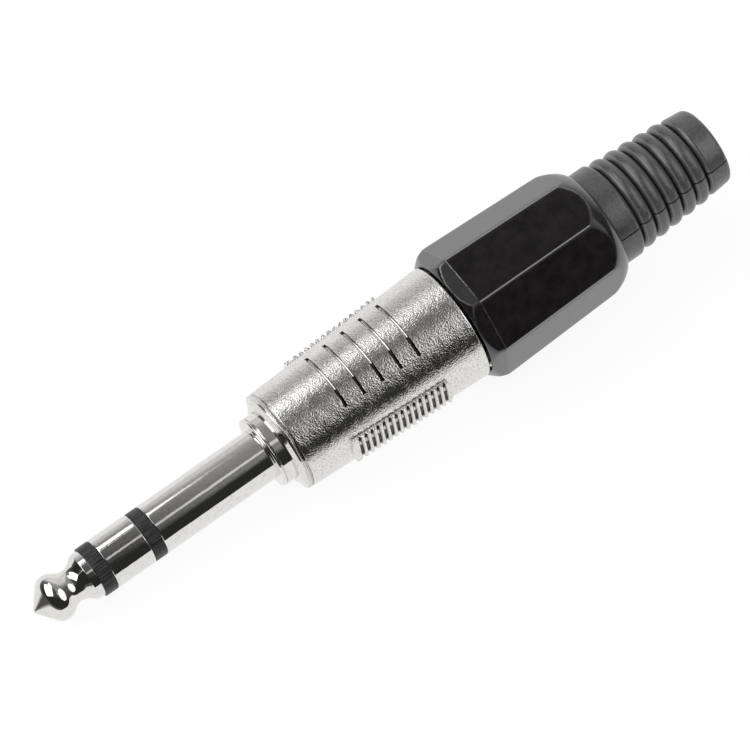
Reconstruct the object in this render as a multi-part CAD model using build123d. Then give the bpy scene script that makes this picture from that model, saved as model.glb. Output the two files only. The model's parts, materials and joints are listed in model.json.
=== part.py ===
from build123d import *

import os
from math import asin, atan2, cos, degrees, hypot, pi, sin

# A 6.35 mm three-pole jack plug with a die-cast shell, an octagonal screw cap and a ribbed
# boot. It is modelled along X with the tip at -X. Lengths are in millimetres, and the
# origin is the centre of the collar's front face, where the plug stops against a jack.
# At the end the whole plug is tilted so that it lies on its ball and on one flat of the cap.

# Clearances
seat_gap = 0.02
sliding_gap = 0.05
moving_gap = 0.12

# Contact shank: lengths run from the collar towards the tip
shank_r = 3.175
edge_bevel = 0.15
sleeve_length = 15.3
ring_insulator_width = 1.5
ring_length = 5.28
tip_insulator_width = 1.58
insulator_sink = 0.02

# Tip: a coned nose, a ball, a waist and a skirt
tip_length = 7.74
nose_round = 0.5
ball_r = 2.92
ball_round = 1.3
ball_from_skirt = 4.89
neck_r = 1.97
neck_round = 1.2
neck_from_skirt = 2.59
skirt_r = 2.93
skirt_length = 0.9

# Nested tubes inside the shank
rod_r = 0.9
tube_wall = 0.4
ring_tube_wall = 0.45

# Collar, flange and spigot of the sleeve
collar_r = 4.45
collar_round = 0.12
front_ring_length = 0.32
collar_groove_width = 0.14
collar_groove_depth = 0.35
flange_r = 5.4
flange_length = 1.6
spigot_r = 2.9

# Stack of washers and solder lugs behind the flange
lug_sheet = 0.6
washer_thickness = 0.9
rivet_lip = 0.35
rivet_head_length = 0.6
rivet_head_r = 1.5
sleeve_lug_ring_r = 4.3
ring_lug_ring_r = 3.45
tip_lug_ring_r = 2.2
washer_overhang = 0.25
lug_bend = 0.3
sleeve_tag_r = 4.6
sleeve_tag_width = 3.6
sleeve_tag_length = 13.5
ring_tag_r = 3.9
ring_tag_width = 2.6
ring_tag_length = 8.5
tip_tag_r = 2.8
tip_tag_width = 2.4
tip_tag_length = 7.5
tag_end_share = 0.45
wire_hole_r = 0.7

# Shell
shell_front = 1.74
front_wall = 2.5
nose_ring_r = 5.1
nose_chamfer = 0.65
nose_chamfer_length = 0.42
rim_step = 0.14
rim_r = 6.22
rim_length = 0.18
rim_groove_width = 0.28
rim_groove_depth = 0.17
cone_front_r = 6.27
cone_rear_r = 7.31
shell_length = 25.19
neck_r_outer = 6.38
neck_length = 8.3
neck_chamfer = 0.35
shell_roll = 5.5

# Grip pads on the two sides of the shell
pad_start = 8.28
pad_length = 12.89
pad_front_point = 0.38
pad_rear_point = 0.64
pad_width = 4.3
pad_height = 0.24
pad_root = 1.1
ridge_count = 16
first_groove = 9.25
ridge_pitch = 0.815
ridge_depth = 0.42
notch_share = 0.72

# Engraved lines on the two broad faces of the shell
line_count = 5
line_first = 9.8
line_pitch = 2.525
line_width = 0.3
line_depth = 0.2
line_span = 75

# Insulating tube in the wiring chamber
lining_wall = 0.4

# Chuck that grips the cable
chuck_wall = 1.35
chuck_front_length = 7.4
chuck_rim_r = 6.35
chuck_rim_length = 1.0
finger_count = 6
finger_slot = 0.8
finger_slot_front = 4.2
finger_straight = 1.0
finger_taper_length = 5.0
finger_taper = 1.05
finger_step = 0.45
grip_ridge_count = 5
grip_ridge_pitch = 1.0
grip_ridge_height = 0.3
grip_ridge_end = 0.8
key_width = 1.6
key_length = 2.0
key_height = 0.5
key_root = 0.2

# Cap
cap_gap = 0.06
thread_major_r = 7.0
cap_mouth_r = 7.45
cap_front_corner_r = 8.42
cap_front_round = 0.86
cap_front_arc_r = 2.6
cap_bevel_length = 1.74
cap_front_apothem = 8.06
cap_bevel_apothem = 7.55
cap_rear_apothem = 7.56
cap_taper_length = 15.65
cap_rear_corner_r = 8.2
cap_end_length = 2.82
cap_end_bulge = 0.25
cap_sides = 8
cap_cable_hole_r = 4.4
cap_web = 1.1
cap_lip = 1.45
cap_lead_in = 0.25

# Boot
boot_bore_r = 3.5
boot_neck_r = 6.05
boot_flange_r = 6.75
boot_flange_length = 1.75
boot_flange_chamfer = 0.3
boot_collar_length = 2.43
boot_collar_fall = 0.6
boot_collar_arc_r = 1.08
rib_count = 5
rib_first_valley_r = 5.2
rib_pitch = 2.0
rib_crest_at = 0.9
rib_height = 0.73
rib_taper = 0.128
boot_end_front_r = 5.13
boot_end_rear_r = 4.87
boot_end_length = 3.2
boot_end_round = 0.6
boot_end_arc_r = 0.84

# Positions along the shank
sleeve_front = -sleeve_length
ring_rear = sleeve_front - ring_insulator_width
ring_front = ring_rear - ring_length
skirt_rear = ring_front - tip_insulator_width
nose_end = skirt_rear - tip_length
ball_x = skirt_rear - ball_from_skirt
neck_x = skirt_rear - neck_from_skirt
skirt_front = skirt_rear - skirt_length

# Radii of the nested tubes, from the rod outwards
tip_tube_bore = rod_r + seat_gap
tip_tube_r = tip_tube_bore + tube_wall
ring_tube_bore = tip_tube_r + seat_gap
ring_tube_r = ring_tube_bore + ring_tube_wall
outer_tube_bore = ring_tube_r + seat_gap
outer_tube_r = outer_tube_bore + tube_wall
sleeve_bore = outer_tube_r + seat_gap

# Positions behind the collar
flange_front = shell_front + front_wall
flange_rear = flange_front + flange_length
sleeve_lug_x = flange_rear
ring_washer_x = sleeve_lug_x + lug_sheet
ring_lug_x = ring_washer_x + washer_thickness
ring_lug_rear = ring_lug_x + lug_sheet
tip_washer_x = ring_lug_rear + rivet_lip
tip_lug_x = tip_washer_x + washer_thickness
tip_lug_rear = tip_lug_x + lug_sheet
ring_washer_r = min(ring_lug_ring_r + washer_overhang, sleeve_tag_r - lug_sheet - lug_bend)
tip_washer_r = tip_lug_ring_r + washer_overhang
shell_bore = flange_r + sliding_gap
cone_front = shell_front + nose_chamfer_length + rim_step + rim_length + rim_groove_width
cone_rear = shell_front + shell_length
neck_rear = cone_rear + neck_length
chuck_front = neck_rear - chuck_front_length
chuck_r = shell_bore - sliding_gap
chuck_bore = chuck_r - chuck_wall
taper_front = neck_rear + chuck_rim_length + finger_straight
taper_rear = taper_front + finger_taper_length
finger_r = chuck_rim_r - finger_step

# Positions along the cap and the boot
cap_front = cone_rear + cap_gap
facet_front = cap_front + cap_bevel_length
facet_rear = facet_front + cap_taper_length
cap_rear = facet_rear + cap_end_length
cap_bore = thread_major_r + sliding_gap
lip_front = cap_rear - cap_lip
groove_r = boot_flange_r + moving_gap
groove_front = lip_front - boot_flange_length - 2 * moving_gap
web_front = groove_front - cap_web
boot_front = groove_front + moving_gap
boot_collar_rear = cap_rear + boot_collar_length
first_valley = boot_collar_rear + boot_collar_fall
boot_end_front = first_valley + rib_count * rib_pitch
boot_rear = boot_end_front + boot_end_length

cone_slope = (cone_rear_r - cone_front_r) / (cone_rear - cone_front)
rest_tilt = degrees(atan2(cap_front_apothem - ball_r, facet_front - ball_x))


def turned(points):
    """Solid of revolution about X from a closed outline of (x, radius) points."""
    return revolve(make_face(Polyline(*points, close=True)), Axis.X)


def tube(front, rear, bore, outer):
    """Plain tube along X; a bore of nothing gives a solid rod."""
    return turned([(front, bore), (front, outer), (rear, outer), (rear, bore)])


def touching_line(centre_a, radius_a, centre_b, radius_b):
    """Ends of the line over circle a and circle b; a negative radius runs it under one."""
    along = centre_b[0] - centre_a[0]
    up = centre_b[1] - centre_a[1]
    lean = atan2(up, along) - asin((radius_a - radius_b) / hypot(along, up))
    across = (-sin(lean), cos(lean))
    start = (centre_a[0] + radius_a * across[0], centre_a[1] + radius_a * across[1])
    end = (centre_b[0] + radius_b * across[0], centre_b[1] + radius_b * across[1])
    return start, end


def build_tip():
    """Turned tip: rounded nose, ball, waist and skirt, with the rod behind and its rivet head."""
    nose = (nose_end + nose_round, 0)
    ball = (ball_x, ball_r - ball_round)
    neck = (neck_x, neck_r + neck_round)
    cone_start, cone_end = touching_line(nose, nose_round, ball, ball_round)
    back_start, back_end = touching_line(ball, ball_round, neck, -neck_round)
    flare_start, flare_end = touching_line(neck, -neck_round, (skirt_front, skirt_r), 0)
    outline = [
        RadiusArc((nose_end, 0), cone_start, nose_round),
        Line(cone_start, cone_end),
        ThreePointArc(cone_end, (ball_x, ball_r), back_start),
        Line(back_start, back_end),
        ThreePointArc(back_end, (neck_x, neck_r), flare_start),
        Polyline(
            flare_start,
            flare_end,
            (skirt_rear, skirt_r),
            (skirt_rear, rod_r),
            (tip_lug_rear, rod_r),
            (tip_lug_rear, rivet_head_r),
            (tip_lug_rear + rivet_head_length / 2, rivet_head_r),
            (tip_lug_rear + rivet_head_length, rod_r),
            (tip_lug_rear + rivet_head_length, 0),
            (nose_end, 0),
        ),
    ]
    return revolve(make_face(outline), Axis.X)


def build_ring_contact():
    """Ring of the shank with its tube, rolled over behind the ring lug."""
    return turned(
        [
            (ring_front, ring_tube_bore),
            (ring_front, shank_r - edge_bevel),
            (ring_front + edge_bevel, shank_r),
            (ring_rear - edge_bevel, shank_r),
            (ring_rear, shank_r - edge_bevel),
            (ring_rear, ring_tube_r),
            (ring_lug_rear, ring_tube_r),
            (ring_lug_rear, ring_tube_r + rivet_lip),
            (tip_washer_x, ring_tube_r + rivet_lip),
            (tip_washer_x, ring_tube_bore),
        ]
    )


def build_sleeve_contact():
    """Sleeve of the shank, its two-ring collar, the flange that seats in the shell, and the spigot."""
    groove_front_x = front_ring_length
    groove_rear_x = front_ring_length + collar_groove_width
    groove_bottom = collar_r - collar_groove_depth
    round_off = collar_round * (1 - cos(pi / 4))
    return turned(
        [
            (sleeve_front, sleeve_bore),
            (sleeve_front, shank_r - edge_bevel),
            (sleeve_front + edge_bevel, shank_r),
            (0, shank_r),
            (0, collar_r - collar_round),
            (round_off, collar_r - round_off),
            (collar_round, collar_r),
            (groove_front_x - round_off, collar_r),
            (groove_front_x, collar_r - round_off),
            (groove_front_x, groove_bottom),
            (groove_rear_x, groove_bottom),
            (groove_rear_x, collar_r - round_off),
            (groove_rear_x + round_off, collar_r),
            (flange_front, collar_r),
            (flange_front, flange_r),
            (flange_rear, flange_r),
            (flange_rear, spigot_r),
            (ring_washer_x, spigot_r),
            (ring_washer_x, sleeve_bore),
        ]
    )


def solder_lug(front, ring_r, hole_r, tag_r, tag_width, tag_length, clock):
    """Stamped ring with a tag bent back along the plug; clock turns it about the axis."""
    rear = front + lug_sheet
    tag_end = front + tag_length
    ring = tube(front, rear, 0, ring_r)
    bent = Polyline(
        (front, 0),
        (front, tag_r),
        (tag_end, tag_r),
        (tag_end, tag_r - lug_sheet),
        (rear, tag_r - lug_sheet),
        (rear, 0),
        close=True,
    )
    strip = extrude(Plane.XZ * make_face(bent), tag_width / 2, both=True)
    bends = strip.edges().filter_by(Axis.Y)
    strip = fillet(bends.sort_by_distance((front, 0, tag_r))[0], lug_bend + lug_sheet)
    inner = strip.edges().filter_by(Axis.Y).sort_by_distance((rear, 0, tag_r - lug_sheet))[0]
    strip = fillet(inner, lug_bend)
    corners = strip.edges().filter_by(Axis.Z).group_by(Axis.X)[-1]
    strip = fillet(corners, tag_width * tag_end_share)
    hole = Pos(tag_end - tag_width / 2, 0, tag_r) * Cylinder(wire_hole_r, 4 * lug_sheet)
    lug = (ring + strip) - hole - tube(front, rear, 0, hole_r)
    return Rot(X=clock) * lug


def build_shell():
    """Die-cast housing: stepped nose, coned barrel, threaded neck, grip pads and engraved lines."""
    chamfer_rear = shell_front + nose_chamfer_length
    rim_front = chamfer_rear + rim_step
    rim_rear = rim_front + rim_length
    shell = turned(
        [
            (shell_front, collar_r + seat_gap),
            (shell_front, nose_ring_r),
            (chamfer_rear, nose_ring_r + nose_chamfer),
            (rim_front, nose_ring_r + nose_chamfer),
            (rim_front, rim_r),
            (rim_rear, rim_r),
            (rim_rear, rim_r - rim_groove_depth),
            (cone_front, rim_r - rim_groove_depth),
            (cone_front, cone_front_r),
            (cone_rear, cone_rear_r),
            (cone_rear, neck_r_outer),
            (neck_rear - neck_chamfer, neck_r_outer),
            (neck_rear, neck_r_outer - neck_chamfer),
            (neck_rear, shell_bore),
            (flange_front, shell_bore),
            (flange_front, collar_r + seat_gap),
        ]
    )
    pad = grip_pad()
    shell += pad
    shell += Rot(X=180) * pad
    for index in range(line_count):
        cutter = engraved_line(line_first + index * line_pitch)
        shell -= cutter
        shell -= Rot(X=180) * cutter
    shell -= Pos(neck_rear, 0, 0) * Box(2 * key_length, 3 * shell_bore, key_width)
    return shell


def cone_radius(along):
    """Radius of the shell's cone at a distance along X."""
    return cone_front_r + cone_slope * (along - cone_front)


def grip_pad():
    """Raised pad that follows the cone on the -Y side, with ridges left between V grooves.

    Its ends come to a slight point at the die's parting plane.
    """
    middle = pad_start + pad_length / 2
    half_width = pad_width / 2
    plan = make_face(
        Polyline(
            (-pad_length / 2, half_width),
            (-pad_length / 2 - pad_front_point, 0),
            (-pad_length / 2, -half_width),
            (pad_length / 2, -half_width),
            (pad_length / 2 + pad_rear_point, 0),
            (pad_length / 2, half_width),
            close=True,
        )
    )
    plan = Plane.XZ * plan
    pad = extrude(plan, pad_height) + extrude(plan, -pad_root)
    notch_half = ridge_pitch * notch_share / 2
    notch = make_face(
        Polyline(
            (-notch_half, -pad_height),
            (notch_half, -pad_height),
            (0, ridge_depth - pad_height),
            close=True,
        )
    )
    for index in range(ridge_count - 1):
        groove_x = first_groove - middle + index * ridge_pitch
        groove = extrude(Pos(groove_x, 0, 0) * notch, pad_width, both=True)
        pad -= groove
    tilt = degrees(atan2(cone_rear_r - cone_front_r, cone_rear - cone_front))
    return Pos(middle, -cone_radius(middle), 0) * Rot(Z=-tilt) * pad


def engraved_line(along):
    """Cutter for one engraved line, an arc of a ring centred on +Z."""
    inner = cone_radius(along) - line_depth
    ring = make_face(
        Polyline(
            (along - line_width / 2, inner + 2),
            (along - line_width / 4, inner),
            (along + line_width / 4, inner),
            (along + line_width / 2, inner + 2),
            close=True,
        )
    )
    arc = revolve(ring, Axis.X, line_span)
    return Rot(X=90 - line_span / 2) * arc


def build_chuck():
    """Collet: plain front, rim that stops on the neck, tapered fingers and grip ridges inside."""
    body = turned(
        [
            (chuck_front, chuck_bore),
            (chuck_front, chuck_r),
            (neck_rear, chuck_r),
            (neck_rear, chuck_rim_r),
            (neck_rear + chuck_rim_length, chuck_rim_r),
            (neck_rear + chuck_rim_length, finger_r),
            (taper_front, finger_r),
            (taper_rear, finger_r - finger_taper),
            (taper_rear, chuck_bore),
        ]
    )
    for index in range(grip_ridge_count):
        middle = taper_rear - grip_ridge_end - index * grip_ridge_pitch
        body += turned(
            [
                (middle - grip_ridge_height, chuck_bore + sliding_gap),
                (middle, chuck_bore - grip_ridge_height),
                (middle + grip_ridge_height, chuck_bore + sliding_gap),
            ]
        )
    slot_front = neck_rear - finger_slot_front
    slot_length = taper_rear - slot_front + 1
    slot = Box(slot_length, 2 * chuck_rim_r, finger_slot, align=(Align.MIN, Align.MIN, Align.CENTER))
    for index in range(finger_count):
        turn = (index + 0.5) * 360 / finger_count
        body -= Rot(X=turn) * Pos(slot_front, 0, 0) * slot
    key = Box(
        key_length,
        key_root + key_height,
        key_width - 2 * sliding_gap,
        align=(Align.MAX, Align.MIN, Align.CENTER),
    )
    for turn in (0, 180):
        body += Rot(X=turn) * Pos(neck_rear, chuck_r - key_root, 0) * key
    return body


def octagon(along, apothem):
    """Octagon across the axis with one flat straight down."""
    flat_down = 180 / cap_sides
    return Plane.YZ.offset(along) * RegularPolygon(apothem, cap_sides, False, flat_down)


def build_cap():
    """Octagonal screw cap: bevelled front, tapered flats, round rear, cone and snap groove inside."""
    rear_apothem = cap_rear_apothem + (cap_rear_apothem - cap_front_apothem) * (
        cap_end_length / cap_taper_length
    )
    flats = loft([octagon(cap_front, cap_bevel_apothem), octagon(facet_front, cap_front_apothem)])
    flats += loft([octagon(facet_front, cap_front_apothem), octagon(cap_rear, rear_apothem)])
    end_hole = boot_neck_r + moving_gap
    round_x = cap_front + cap_front_round
    clear_r = cap_front_apothem / cos(pi / cap_sides) + moving_gap
    outline = [
        Line((cap_front, 0), (cap_front, cap_mouth_r)),
        RadiusArc((cap_front, cap_mouth_r), (round_x, cap_front_corner_r), cap_front_arc_r),
        Polyline(
            (round_x, cap_front_corner_r),
            (facet_front, clear_r),
            (facet_rear, cap_rear_corner_r),
        ),
        ThreePointArc(
            (facet_rear, cap_rear_corner_r),
            (
                (facet_rear + cap_rear) / 2 + cap_end_bulge,
                (cap_rear_corner_r + end_hole) / 2 + cap_end_bulge,
            ),
            (cap_rear, end_hole),
        ),
        Polyline((cap_rear, end_hole), (cap_rear, 0), (cap_front, 0)),
    ]
    outside = flats & revolve(make_face(outline), Axis.X)
    seat_r = finger_r + 2 * sliding_gap
    inside = turned(
        [
            (cap_front, 0),
            (cap_front, cap_bore + cap_lead_in),
            (cap_front + cap_lead_in, cap_bore),
            (neck_rear + chuck_rim_length + cap_lead_in, cap_bore),
            (taper_front, seat_r),
            (taper_rear, seat_r - finger_taper),
            (web_front, cap_cable_hole_r),
            (groove_front, cap_cable_hole_r),
            (groove_front, groove_r),
            (lip_front, groove_r),
            (lip_front, end_hole),
            (cap_rear, end_hole),
            (cap_rear, 0),
        ]
    )
    return outside - inside


def build_boot():
    """Bend relief: snap flange, neck, plain collar, rounded ribs that get smaller, and end collar."""
    neck_end = (boot_collar_rear, boot_neck_r)
    flange_rear_x = boot_front + boot_flange_length
    outline = [
        Polyline(
            (boot_rear, boot_bore_r),
            (boot_front, boot_bore_r),
            (boot_front, boot_flange_r - boot_flange_chamfer),
            (boot_front + boot_flange_chamfer, boot_flange_r),
            (flange_rear_x, boot_flange_r),
            (flange_rear_x, boot_neck_r),
            neck_end,
        ),
        RadiusArc(neck_end, (first_valley, rib_first_valley_r), boot_collar_arc_r),
    ]
    for index in range(rib_count):
        front = first_valley + index * rib_pitch
        valley = rib_first_valley_r - index * rib_taper
        crest = (front + rib_crest_at, valley - rib_taper / 2 + rib_height)
        outline.append(
            ThreePointArc((front, valley), crest, (front + rib_pitch, valley - rib_taper))
        )
    last_valley = rib_first_valley_r - rib_count * rib_taper
    round_x = boot_end_front + boot_collar_fall
    end_x = boot_rear - boot_end_round
    outline += [
        RadiusArc((boot_end_front, last_valley), (round_x, boot_end_front_r), boot_end_arc_r),
        Line((round_x, boot_end_front_r), (end_x, boot_end_rear_r)),
        RadiusArc((end_x, boot_end_rear_r), (boot_rear, boot_end_rear_r - boot_end_round), boot_end_round),
        Line((boot_rear, boot_end_rear_r - boot_end_round), (boot_rear, boot_bore_r)),
    ]
    return revolve(make_face(outline), Axis.X)


insulator_r = shank_r - insulator_sink
parts = {
    "tip": build_tip(),
    "tip_insulator": tube(skirt_rear, ring_front, tip_tube_bore, insulator_r),
    "tip_tube": tube(ring_front, tip_washer_x, tip_tube_bore, tip_tube_r),
    "ring_contact": build_ring_contact(),
    "ring_insulator": tube(ring_rear, sleeve_front, outer_tube_bore, insulator_r),
    "ring_tube": tube(sleeve_front, ring_washer_x, outer_tube_bore, outer_tube_r),
    "sleeve_contact": build_sleeve_contact(),
    "sleeve_lug": solder_lug(
        sleeve_lug_x,
        sleeve_lug_ring_r,
        spigot_r + seat_gap,
        sleeve_tag_r,
        sleeve_tag_width,
        sleeve_tag_length,
        180,
    ),
    "ring_lug_washer": tube(ring_washer_x, ring_lug_x, ring_tube_r + seat_gap, ring_washer_r),
    "ring_lug": solder_lug(
        ring_lug_x,
        ring_lug_ring_r,
        ring_tube_r + seat_gap,
        ring_tag_r,
        ring_tag_width,
        ring_tag_length,
        55,
    ),
    "tip_lug_washer": tube(tip_washer_x, tip_lug_x, rod_r + seat_gap, tip_washer_r),
    "tip_lug": solder_lug(
        tip_lug_x,
        tip_lug_ring_r,
        rod_r + seat_gap,
        tip_tag_r,
        tip_tag_width,
        tip_tag_length,
        -55,
    ),
    "shell": Rot(X=-shell_roll) * build_shell(),
    "lining_tube": tube(flange_rear, chuck_front, chuck_r - lining_wall, chuck_r),
    "chuck": Rot(X=-shell_roll) * build_chuck(),
    "cap": build_cap(),
    "boot": build_boot(),
}

os.makedirs("parts", exist_ok=True)
for name, shape in parts.items():
    export_step(Rot(Y=-rest_tilt) * shape, f"parts/{name}.step")
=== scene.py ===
import json
import math

import bmesh
import bpy
from mathutils import Matrix, Vector


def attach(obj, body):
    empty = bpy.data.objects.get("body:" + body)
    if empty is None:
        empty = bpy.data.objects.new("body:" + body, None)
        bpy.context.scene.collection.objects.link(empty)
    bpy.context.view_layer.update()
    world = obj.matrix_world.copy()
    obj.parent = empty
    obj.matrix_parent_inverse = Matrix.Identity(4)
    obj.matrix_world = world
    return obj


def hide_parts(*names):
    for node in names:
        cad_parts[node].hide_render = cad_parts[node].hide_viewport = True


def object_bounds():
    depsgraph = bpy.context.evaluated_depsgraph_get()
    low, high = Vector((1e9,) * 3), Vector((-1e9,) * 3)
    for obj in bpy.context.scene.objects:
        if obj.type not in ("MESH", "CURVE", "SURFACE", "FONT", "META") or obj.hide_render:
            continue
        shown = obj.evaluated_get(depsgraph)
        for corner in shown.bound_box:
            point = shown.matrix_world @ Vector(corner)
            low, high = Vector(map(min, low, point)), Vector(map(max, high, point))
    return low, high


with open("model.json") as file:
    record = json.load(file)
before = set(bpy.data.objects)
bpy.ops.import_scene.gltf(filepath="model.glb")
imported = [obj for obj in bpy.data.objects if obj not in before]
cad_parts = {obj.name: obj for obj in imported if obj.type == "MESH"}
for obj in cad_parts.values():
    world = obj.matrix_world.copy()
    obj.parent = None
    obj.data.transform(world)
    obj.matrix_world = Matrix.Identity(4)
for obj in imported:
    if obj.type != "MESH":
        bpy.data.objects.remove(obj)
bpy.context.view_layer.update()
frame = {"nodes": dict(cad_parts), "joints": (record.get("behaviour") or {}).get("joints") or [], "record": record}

# Contact shank: tip
# One turned and nickel-plated brass piece with a coned nose, a ball, a waist and a skirt. Its rod
# runs back through the shank and is riveted over the tip lug. The plug lies on the ball and a flat
# of the cap, so its axis rises to the rear. Sizes are in mm along it from the collar's front face.
travel = next(joint for joint in frame["joints"] if joint["name"] == "cap_travel")
plug_axis = Vector(travel["axis"]).normalized()
lie = math.atan2(plug_axis.z, plug_axis.x)
to_row = Matrix.Rotation(-lie, 4, "Y") @ Matrix.Scale(0.001, 4)

nose_end = -31.4
nose_corner = (nose_end, 0.178, 0.49)
ball_corner = (-28.83, 3.394, 1.6)
neck_corner = (-26.172, 1.67, 1.5)
skirt_front = -24.56
skirt_rear = -23.66
skirt_r = 2.93
rod_r = 0.9
tip_lug_rear = 9.79
rivet_head_r = 1.5
rivet_height = 0.6
rivet_rear = tip_lug_rear + rivet_height
on_axis_r = 1e-6
long_face = 0.5
face_hold = 0.1


def set_inputs(tree, node, values):
    """Links the sockets and sets the plain values among a node's inputs."""
    for name, value in values.items():
        if isinstance(value, bpy.types.NodeSocket):
            tree.links.new(value, node.inputs[name])
        else:
            node.inputs[name].default_value = value
    return node


def add_node(tree, kind, values=None, **settings):
    """A shader or geometry node with its settings and its input values."""
    node = tree.nodes.new(kind)
    for name, value in settings.items():
        setattr(node, name, value)
    return set_inputs(tree, node, values or {})


def mapped(tree, value, low, high, start=0.0, end=1.0):
    """A value mapped from one range to another."""
    limits = {"Value": value, "From Min": low, "From Max": high, "To Min": start, "To Max": end}
    return add_node(tree, "ShaderNodeMapRange", limits).outputs["Result"]


def noise(tree, place, scale, detail, roughness):
    """A noise over a place in millimetres."""
    values = {"Vector": place, "Scale": scale, "Detail": detail, "Roughness": roughness}
    return add_node(tree, "ShaderNodeTexNoise", values).outputs["Fac"]


def blend(tree, share, first, second):
    """A colour between two others."""
    return add_node(
        tree, "ShaderNodeMix", {"Factor": share, 6: first, 7: second}, data_type="RGBA"
    ).outputs[2]


def bumped(tree, height, strength, distance):
    """A surface normal raised by a height."""
    values = {"Height": height, "Strength": strength, "Distance": distance}
    return add_node(tree, "ShaderNodeBump", values).outputs["Normal"]


def stretched(tree, place, scale):
    """A place scaled along and across the plug."""
    return add_node(tree, "ShaderNodeMapping", {"Vector": place, "Scale": scale}).outputs["Vector"]


def plug_material(name):
    """An empty material with its shader, and coordinates in millimetres along the plug's axis."""
    material = bpy.data.materials.new(name)
    material.use_nodes = True
    tree = material.node_tree
    place = add_node(tree, "ShaderNodeTexCoord")
    along = add_node(
        tree,
        "ShaderNodeMapping",
        {"Vector": place.outputs["Object"], "Rotation": (0, lie, 0), "Scale": (1000, 1000, 1000)},
    )
    return material, tree, tree.nodes["Principled BSDF"], along.outputs["Vector"]


def plain_group(name, inputs, outputs):
    """A shader node group of numbers and vectors; gives its tree, inputs and output node."""
    tree = bpy.data.node_groups.new(name, "ShaderNodeTree")
    for label, value in inputs.items():
        kind = "NodeSocketFloat" if isinstance(value, float) else "NodeSocketVector"
        socket = tree.interface.new_socket(label, in_out="INPUT", socket_type=kind)
        if value is not None:
            socket.default_value = value
    for label in outputs:
        tree.interface.new_socket(label, in_out="OUTPUT", socket_type="NodeSocketFloat")
    return tree, tree.nodes.new("NodeGroupInput").outputs, tree.nodes.new("NodeGroupOutput")


def use_group(tree, group, values):
    """The outputs of a node group placed in a material with its own values."""
    node = tree.nodes.new("ShaderNodeGroup")
    node.node_tree = group
    return set_inputs(tree, node, values).outputs


def softened(corners, steps):
    """Outline through (along, radius, rounding) corners; long faces are held flat near their ends."""
    outline = []
    for index, (along, radius, rounding) in enumerate(corners):
        here = Vector((along, radius))
        if rounding <= 0:
            outline.append(here)
            continue
        before = (Vector(corners[index - 1][:2]) - here).normalized()
        after = (Vector(corners[(index + 1) % len(corners)][:2]) - here).normalized()
        half = before.angle(after) / 2
        centre = here + (before + after).normalized() * (rounding / math.sin(half))
        start = here + before * (rounding / math.tan(half)) - centre
        end = here + after * (rounding / math.tan(half)) - centre
        sweep = start.angle_signed(end)
        for step in range(steps + 1):
            turn = Matrix.Rotation(-sweep * step / steps, 2)
            outline.append(centre + turn @ start)
    held = []
    for index, here in enumerate(outline):
        held.append(here)
        run = outline[(index + 1) % len(outline)] - here
        if run.length > long_face and max(here.y, here.y + run.y) > on_axis_r:
            held.append(here + run * (face_hold / run.length))
            held.append(here + run * (1 - face_hold / run.length))
    return held


def turned_mesh(corners, sides=192, steps=8):
    """A solid of revolution as a bmesh, in millimetres along the plug's axis."""
    mesh = bmesh.new()
    rings = []
    for point in softened(corners, steps):
        if point.y < on_axis_r:
            rings.append([mesh.verts.new((point.x, 0, 0))] * sides)
            continue
        ring = []
        for side in range(sides):
            turn = 2 * math.pi * side / sides
            ring.append(mesh.verts.new((point.x, point.y * math.cos(turn), point.y * math.sin(turn))))
        rings.append(ring)
    for index, front in enumerate(rings):
        rear = rings[(index + 1) % len(rings)]
        if front[0] is front[1] and rear[0] is rear[1]:
            continue
        for side in range(sides):
            after = (side + 1) % sides
            corners_here = (front[side], front[after], rear[after], rear[side])
            mesh.faces.new(list(dict.fromkeys(corners_here)))
    bmesh.ops.recalc_face_normals(mesh, faces=mesh.faces)
    return mesh


def new_object(name, data):
    """An object with its data, in the scene."""
    thing = bpy.data.objects.new(name, data)
    bpy.context.scene.collection.objects.link(thing)
    return thing


def placed_piece(name, mesh, material, crease=28.0):
    """Turns a bmesh in millimetres along the plug into an object in the row's frame."""
    limit = math.radians(crease)
    for face in mesh.faces:
        face.smooth = True
    for edge in mesh.edges:
        sharp = len(edge.link_faces) == 2 and edge.calc_face_angle(0.0) > limit
        edge.smooth = not sharp
    data = bpy.data.meshes.new(name)
    mesh.to_mesh(data)
    mesh.free()
    data.transform(to_row)
    data.materials.append(material)
    return new_object(name, data)


def stand_for(piece, node, body):
    """The piece moves with its body and hides its CAD node."""
    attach(piece, body)
    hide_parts(node)


plating_wear, wear_in, wear_out = plain_group(
    "plating wear",
    {"Vector": None, "Haze Low": 0.05, "Haze High": 0.16},
    ("Height", "Roughness", "Stain"),
)
streak_place = stretched(plating_wear, wear_in["Vector"], (0.28, 2.6, 2.6))
streaks = noise(plating_wear, streak_place, scale=1.0, detail=5.0, roughness=0.65)
spots = noise(plating_wear, wear_in["Vector"], scale=1.9, detail=4.0, roughness=0.7)
set_inputs(
    plating_wear,
    wear_out,
    {
        "Height": streaks,
        "Roughness": mapped(plating_wear, streaks, 0.35, 0.7, wear_in["Haze Low"], wear_in["Haze High"]),
        "Stain": mapped(plating_wear, spots, 0.5, 0.8),
    },
)

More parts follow.
